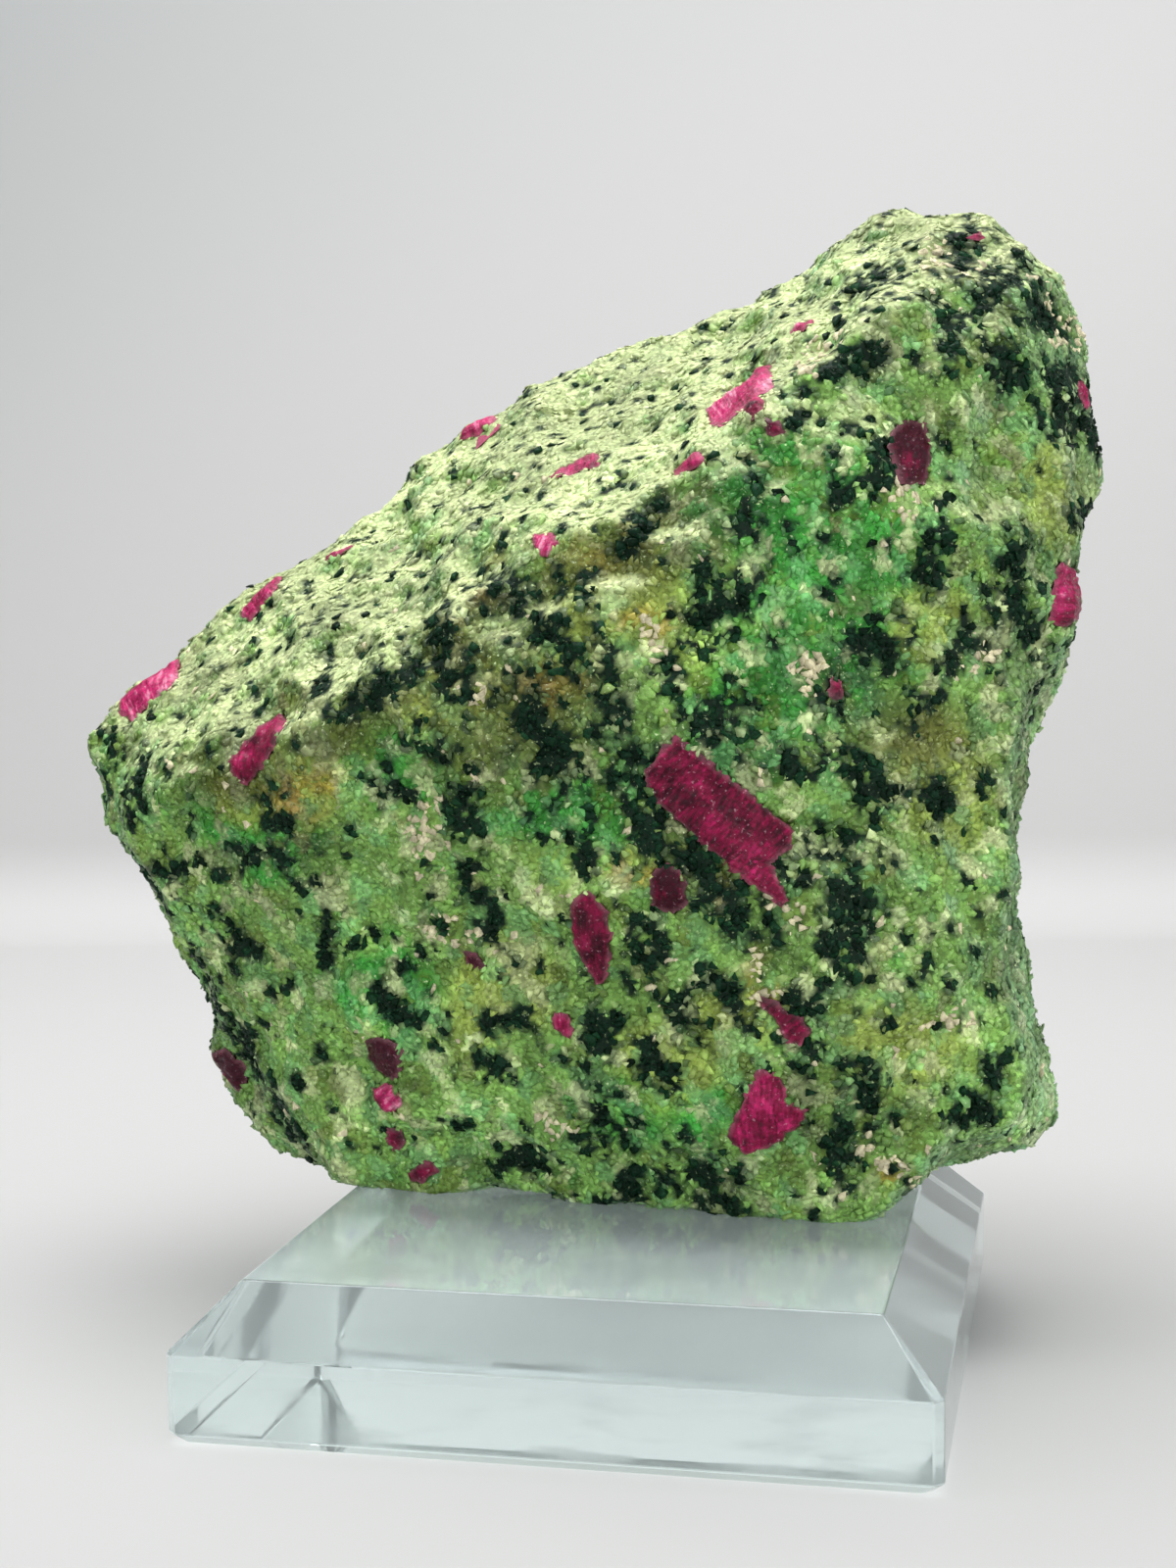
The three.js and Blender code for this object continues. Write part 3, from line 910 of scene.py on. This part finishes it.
# %% Mineral finishes: the shared group
def feed(node, inputs):
    """Gives each of these inputs another node's output, or a plain value."""
    for key, value in inputs.items():
        if isinstance(value, bpy.types.NodeSocket):
            node.id_data.links.new(value, node.inputs[key])
        else:
            node.inputs[key].default_value = value


def add_node(tree, kind, inputs=None, **settings):
    """A new shader node with its settings and its inputs, and what it puts out."""
    node = tree.nodes.new(f"ShaderNode{kind}")
    for key, value in settings.items():
        setattr(node, key, value)
    feed(node, inputs or {})
    return node.outputs


def sugary_facets():
    """A node group: colour in; colour with facets and painted glints, roughness and height out."""
    tree = bpy.data.node_groups.new("sugary_facets", "ShaderNodeTree")
    for in_out, kind, names in (
            ("INPUT", "Color", ("Colour", "Glint colour")),
            ("INPUT", "Float", ("Contrast", "Facets per metre", "Glints")),
            ("OUTPUT", "Color", ("Colour",)), ("OUTPUT", "Float", ("Roughness", "Height"))):
        for name in names:
            tree.interface.new_socket(name, in_out=in_out, socket_type=f"NodeSocket{kind}")
    given = tree.nodes.new("NodeGroupInput").outputs
    where = add_node(tree, "TexCoord")["Object"]
    sized = add_node(
        tree, "VectorMath", {"Vector": where, "Scale": given["Facets per metre"]},
        operation="SCALE")["Vector"]
    facets = add_node(tree, "TexVoronoi", {"Vector": sized, "Scale": 1})

    # each facet leans its own way
    off_middle = add_node(
        tree, "VectorMath", {0: sized, 1: facets["Position"]}, operation="SUBTRACT")
    lean = add_node(
        tree, "VectorMath", {0: facets["Color"], 1: (0.5, 0.5, 0.5)}, operation="SUBTRACT")
    height = add_node(
        tree, "VectorMath", {0: off_middle["Vector"], 1: lean["Vector"]}, operation="DOT_PRODUCT")

    # and has its own lightness and polish
    own = add_node(tree, "SeparateColor", {"Color": facets["Color"]})
    lightness = add_node(tree, "MapRange", {"Value": own["Red"], "To Min": 0.35, "To Max": 1.65})
    shaded = add_node(
        tree, "Mix",
        {"Factor": given["Contrast"], "A": given["Colour"], "B": lightness["Result"]},
        data_type="RGBA", blend_type="MULTIPLY")

    # and here and there a painted glint: a tiny highlight painted into the colour
    glint_spots = add_node(tree, "TexNoise", {"Vector": where, "Scale": 1900, "Detail": 2})
    bright = add_node(tree, "MapRange", {
        "Value": glint_spots["Fac"], "From Min": 0.64, "From Max": 0.72, "To Max": given["Glints"]})
    glinting = add_node(
        tree, "Mix",
        {"Factor": bright["Result"], "A": shaded["Result"], "B": given["Glint colour"]},
        data_type="RGBA")
    feed(tree.nodes.new("NodeGroupOutput"), {
        "Colour": glinting["Result"], "Roughness": own["Green"], "Height": height["Value"]})
    return tree


facets_and_glints = sugary_facets()
print("nodes in the shared group:", len(facets_and_glints.nodes))


# %% Mineral finishes: the four minerals
def start_material(name):
    """A new material, its shader and its node tree."""
    material = bpy.data.materials.new(name)
    material.use_nodes = True
    return material, material.node_tree.nodes["Principled BSDF"], material.node_tree


def finish_stone(
        shader, colour, shine, contrast, facets, glints, glint_colour, smooth, rough, bump):
    """Puts the shared effect between a colour and the shader.

    facets is how many there are to a metre, and bump how high they are in metres. The roughness
    runs from smooth to rough.
    """
    tree = shader.id_data
    effect = add_node(tree, "Group", {
        "Colour": colour, "Contrast": contrast, "Facets per metre": facets, "Glints": glints,
        "Glint colour": (*glint_colour, 1)}, node_tree=facets_and_glints)
    polish = add_node(
        tree, "MapRange", {"Value": effect["Roughness"], "To Min": smooth, "To Max": rough})
    relief = add_node(tree, "Bump", {"Height": effect["Height"], "Distance": bump})
    feed(shader, {
        "Base Color": effect["Colour"], "Roughness": polish["Result"],
        "Normal": relief["Normal"], "Specular IOR Level": shine})


def mineral(name, **finish):
    """A stone material that reads each grain's own colour."""
    material, shader, tree = start_material(name)
    colour = add_node(tree, "Attribute", attribute_name="mineral_colour")["Color"]
    finish_stone(shader, colour, **finish)
    return material


# the colour of the painted glints, tiny highlights painted into the zoisite
PALE_GLINT = paint(214, 236, 172)
zoisite = mineral(
    "zoisite", shine=0.4, contrast=0.42, facets=1500, glints=0.8, glint_colour=PALE_GLINT,
    smooth=0.25, rough=0.6, bump=0.22 * MM)
ground_rock = mineral(
    "zoisite_ground", shine=0.15, contrast=0.6, facets=1900, glints=0.4, glint_colour=PALE_GLINT,
    smooth=0.5, rough=0.85, bump=0.25 * MM)
hornblende = mineral(
    "hornblende", shine=0.06, contrast=0.6, facets=1500, glints=0.45,
    glint_colour=paint(84, 132, 84), smooth=0.12, rough=0.45, bump=0.2 * MM)
feldspar = mineral(
    "feldspar", shine=0.3, contrast=0.4, facets=1900, glints=0.5,
    glint_colour=paint(250, 244, 232), smooth=0.45, rough=0.8, bump=0.2 * MM)
finishes = (zoisite, zoisite, zoisite, zoisite, hornblende, feldspar, hornblende, ground_rock)
for piece, material in zip((*grain_pieces, rock), finishes):
    piece.data.materials.append(material)
    print(piece.name, "is finished as", material.name)

# %% [markdown]
# ## The ruby's finish
# A ruby in this rock is opaque, magenta to dark crimson, with a silky sheen and fine ridges across
# the crystal. The ridges follow each crystal's own direction, so the material reads the place in
# the crystal that its mesh kept, and stretches its noise across it.

# %% The ruby's finish
RUBY_STOPS = (
    (0.05, paint(62, 8, 30)), (0.4, paint(128, 18, 60)), (0.72, paint(186, 40, 100)),
    (1.0, paint(230, 150, 176)))
RIM_GREY = paint(150, 104, 112)
FINE_RIDGES, BROAD_STEPS = (1400, 380, 1), (200, 260, 1)  # along, across: how many to a metre
RUBY_CONTRAST, RUBY_DARKNESS = 1.3, -1.47


def ruby_material():
    """Dark where a ridge dips, pink where it is bruised, and greyer at the rim."""
    material, shader, tree = start_material("ruby")

    def attribute(name, output):
        return add_node(tree, "Attribute", attribute_name=name)[output]

    def streaks(scale, detail):
        stretched = add_node(tree, "Mapping", {"Vector": lie, "Scale": scale})
        return add_node(tree, "TexNoise", {
            "Vector": stretched["Vector"], "Scale": 1, "Detail": detail, "Roughness": 0.6})["Fac"]

    def sum_of(first, share, second):
        """The first number times a share, plus the second."""
        return add_node(
            tree, "Math", {0: first, 1: share, 2: second}, operation="MULTIPLY_ADD")["Value"]

    lie = attribute("lie", "Vector")
    lightness = sum_of(streaks(FINE_RIDGES, 5), RUBY_CONTRAST, RUBY_DARKNESS)
    lightness = sum_of(attribute("tone", "Fac"), 1.0, lightness)
    lightness = sum_of(streaks(BROAD_STEPS, 4), RUBY_CONTRAST, lightness)
    ramp = tree.nodes.new("ShaderNodeValToRGB")
    feed(ramp, {"Fac": lightness})
    stops = ramp.color_ramp.elements
    stops[0].position, stops[1].position = RUBY_STOPS[0][0], RUBY_STOPS[-1][0]
    for place, _ in RUBY_STOPS[1:-1]:
        stops.new(place)
    for stop, (_, colour) in zip(stops, RUBY_STOPS):
        stop.color = (*colour, 1)
    edge = add_node(
        tree, "Mix",
        {"Factor": sum_of(attribute("rim", "Fac"), 0.55, -0.05), "A": ramp.outputs["Color"],
         "B": (*RIM_GREY, 1)}, data_type="RGBA")
    finish_stone(
        shader, edge["Result"], shine=0.2, contrast=0.5, facets=1700, glints=0.3,
        glint_colour=paint(240, 190, 205), smooth=0.3, rough=0.65, bump=0.2 * MM)
    return material


rubies.data.materials.append(ruby_material())
print("ruby is finished with", len(rubies.data.materials[0].node_tree.nodes), "nodes")

# %% [markdown]
# ## The glass block
# The stand is a sawn, ground and polished block of nearly colourless glass. A little iron makes it
# aqua where the light has come a long way through it. The frame's block already has its bevel. A
# merged copy gets a hair of rounding on every edge, because a perfectly sharp glass edge catches
# no light, and an absorption volume gives the tint by real depth. A tenth of the surface stays
# matt, for the fine dust on a block that is handled, and the top is hazy with smears. Glass that
# bends light also keeps lamps from shining through, so it counts as clear wherever only a shadow
# is worked out.

# %% The glass block
ROUNDING = 0.22 * MM

block = merged_copy(GLASS, "polished_glass_block")
glass_shape = bmesh.new()
glass_shape.from_mesh(block.data)
bmesh.ops.dissolve_limit(
    glass_shape, angle_limit=math.radians(1), verts=glass_shape.verts, edges=glass_shape.edges)
bmesh.ops.bevel(
    glass_shape, geom=glass_shape.edges, offset=ROUNDING, segments=2, profile=0.5,
    affect="EDGES", material=-1)
glass_shape.to_mesh(block.data)
glass_shape.free()


def clear_where(shader, clear):
    """Lets light straight through the shader where the given output is 1."""
    tree = shader.id_data
    either = add_node(tree, "MixShader", {
        "Fac": clear, 1: shader.outputs["BSDF"], 2: add_node(tree, "BsdfTransparent")["BSDF"]})
    feed(tree.nodes["Material Output"], {"Surface": either["Shader"]})


def glass_material():
    """Clear glass with an aqua depth, and smears on the faces that look up."""
    material, shader, tree = start_material("clear_glass")
    where = add_node(tree, "TexCoord")
    smears = add_node(tree, "TexNoise", {"Vector": where["Object"], "Scale": 45, "Detail": 6})
    haze = add_node(tree, "MapRange", {
        "Value": smears["Fac"], "From Min": 0.4, "From Max": 0.7, "To Max": 0.24})
    faces = add_node(tree, "SeparateXYZ", {"Vector": where["Normal"]})
    on_top = add_node(
        tree, "Math", {0: faces["Z"], 1: haze["Result"]}, operation="MULTIPLY", use_clamp=True)
    feed(shader, {
        "Base Color": (0.91, 0.985, 0.98, 1), "Roughness": on_top["Value"],
        "Transmission Weight": 0.9, "IOR": 1.52})
    clear_where(shader, add_node(tree, "LightPath")["Is Shadow Ray"])
    depth = add_node(tree, "VolumeAbsorption", {"Color": (0.55, 0.86, 0.82, 1), "Density": 1.6})
    feed(tree.nodes["Material Output"], {"Volume": depth["Volume"]})
    return material


block.data.materials.append(glass_material())
print("glass faces:", len(block.data.polygons))

# %% [markdown]
# ## Joining the frame
# The rock with its grains and rubies stands for the frame's stone, and the polished block for the
# frame's glass. With no joints, everything rides on the one body.

# %% Joining the frame
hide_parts(STONE)
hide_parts(GLASS)
for piece in (rock, rubies, block, *grain_pieces):
    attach(piece, "root")
triangles = sum(len(p.vertices) - 2 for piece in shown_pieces() for p in piece.data.polygons)
print("triangles in all:", triangles)

# %% [markdown]
# ## Stage, light and camera
# A white table meets a pale grey wall a little way behind the stone: the wall is the table's white
# paint with painted shade, greyer going up and to the left. The main light is a broad soft lamp
# overhead and slightly behind, so the sloping top of the stone is bright and its front is quieter.
# A low lamp at the front right and one at the right fill the shadows, with an even grey sky. The
# wall can't be seen from behind, so that it never hides the stone's back.

# %% Stage
FLOOR_HALF = 3.0
WALL_PLACE = 0.415
CURVE = 0.03
WALL_TURN = 10
TABLE_DROP = 0.05 * MM


def backdrop():
    """A table top that curves up into a wall."""
    shape = bmesh.new()
    bmesh.ops.create_grid(
        shape, x_segments=1, y_segments=1, size=FLOOR_HALF,
        matrix=Matrix.Translation((0, WALL_PLACE - FLOOR_HALF, -TABLE_DROP)))
    foot = [e for e in shape.edges if all(v.co.y > 0 for v in e.verts)]
    wall = bmesh.ops.extrude_edge_only(shape, edges=foot)["geom"]
    bmesh.ops.translate(
        shape, vec=(0, 0, FLOOR_HALF), verts=[v for v in wall if isinstance(v, bmesh.types.BMVert)])
    bmesh.ops.bevel(
        shape, geom=foot, offset=CURVE, segments=10, profile=0.5, affect="EDGES", material=-1)
    bmesh.ops.rotate(
        shape, cent=(0, 0, 0), matrix=Matrix.Rotation(math.radians(WALL_TURN), 3, "Z"),
        verts=shape.verts)
    for face in shape.faces:
        face.smooth = True
    return finished_piece(shape, "backdrop")


def backdrop_material():
    """White paint, with painted shade greyer up and to the left. Nothing shows from behind."""
    material, shader, tree = start_material("backdrop_white")
    up_left = add_node(
        tree, "VectorMath", {0: add_node(tree, "TexCoord")["Object"], 1: (-0.55, 0, 1)},
        operation="DOT_PRODUCT")
    height = add_node(
        tree, "MapRange", {"Value": up_left["Value"], "From Min": 0.15, "From Max": 0.55},
        interpolation_type="SMOOTHSTEP")
    # painted shade: the wall turns greyer going up and to the left
    wall_paint_and_shade = add_node(
        tree, "Mix",
        {"Factor": height["Result"], "A": (0.535, 0.53, 0.525, 1), "B": (0.30, 0.31, 0.31, 1)},
        data_type="RGBA")
    feed(shader, {"Base Color": wall_paint_and_shade["Result"], "Roughness": 0.6})
    clear_where(shader, add_node(tree, "NewGeometry")["Backfacing"])
    return material


screen = backdrop()
screen.data.materials.append(backdrop_material())
screen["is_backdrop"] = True
print("backdrop faces:", len(screen.data.polygons))


# %% Light
def soft_lamp(name, place, width, depth, power, aim=None):
    """A rectangular lamp that shines straight down, or at the aim."""
    lamp = bpy.data.lights.new(name, "AREA")
    lamp.shape, lamp.size, lamp.size_y, lamp.energy = "RECTANGLE", width, depth, power
    holder = add_object(name, lamp)
    holder.matrix_world = Matrix.Translation(place)
    if aim:
        holder.matrix_world @= (
            (Vector(aim) - Vector(place)).to_track_quat("-Z", "Y").to_matrix().to_4x4())


soft_lamp("overhead", (-0.08, 0.08, 0.60), 0.6, 0.45, 3.9)
soft_lamp("low_fill", (0.5, -0.9, 0.2), 0.8, 0.4, 1.8, aim=(0, 0, 0.05))
soft_lamp("right_fill", (0.9, -0.1, 0.15), 0.5, 0.3, 1.2, aim=(0, 0, 0.05))


def dim_front_world():
    """An even sky that is dimmer on the side that the camera is on."""
    world = bpy.data.worlds.new("even_sky")
    world.use_nodes = True
    tree = world.node_tree
    parts = add_node(tree, "SeparateXYZ", {"Vector": add_node(tree, "TexCoord")["Generated"]})
    strength = add_node(tree, "MapRange", {
        "Value": parts["Y"], "From Min": -0.9, "From Max": 0.1, "To Min": 0.76, "To Max": 0.9})
    feed(tree.nodes["Background"], {
        "Color": (0.96, 0.985, 1.0, 1), "Strength": strength["Result"]})
    return world


bpy.context.scene.world = dim_front_world()
bpy.context.scene.view_settings.view_transform = "Standard"
print("lamps:", [lamp.name for lamp in bpy.data.lights])

# %% Camera
EYE = Vector((67.6, -325.0, 109.8)) * MM
LOOKS_LEFT, LOOKS_DOWN, LEANS = 12.39, 4.77, -0.73
FOCAL_LENGTH = 53.5

lens = bpy.data.cameras.new("camera")
lens.lens = FOCAL_LENGTH
camera = add_object("camera", lens)
camera.matrix_world = (
    Matrix.Translation(EYE)
    @ Matrix.Rotation(math.radians(LOOKS_LEFT), 4, "Z")
    @ Matrix.Rotation(math.radians(90 - LOOKS_DOWN), 4, "X")
    @ Matrix.Rotation(math.radians(LEANS), 4, "Z"))
bpy.context.scene.camera = camera
print("camera at, mm:", [round(v / MM, 1) for v in camera.matrix_world.translation])
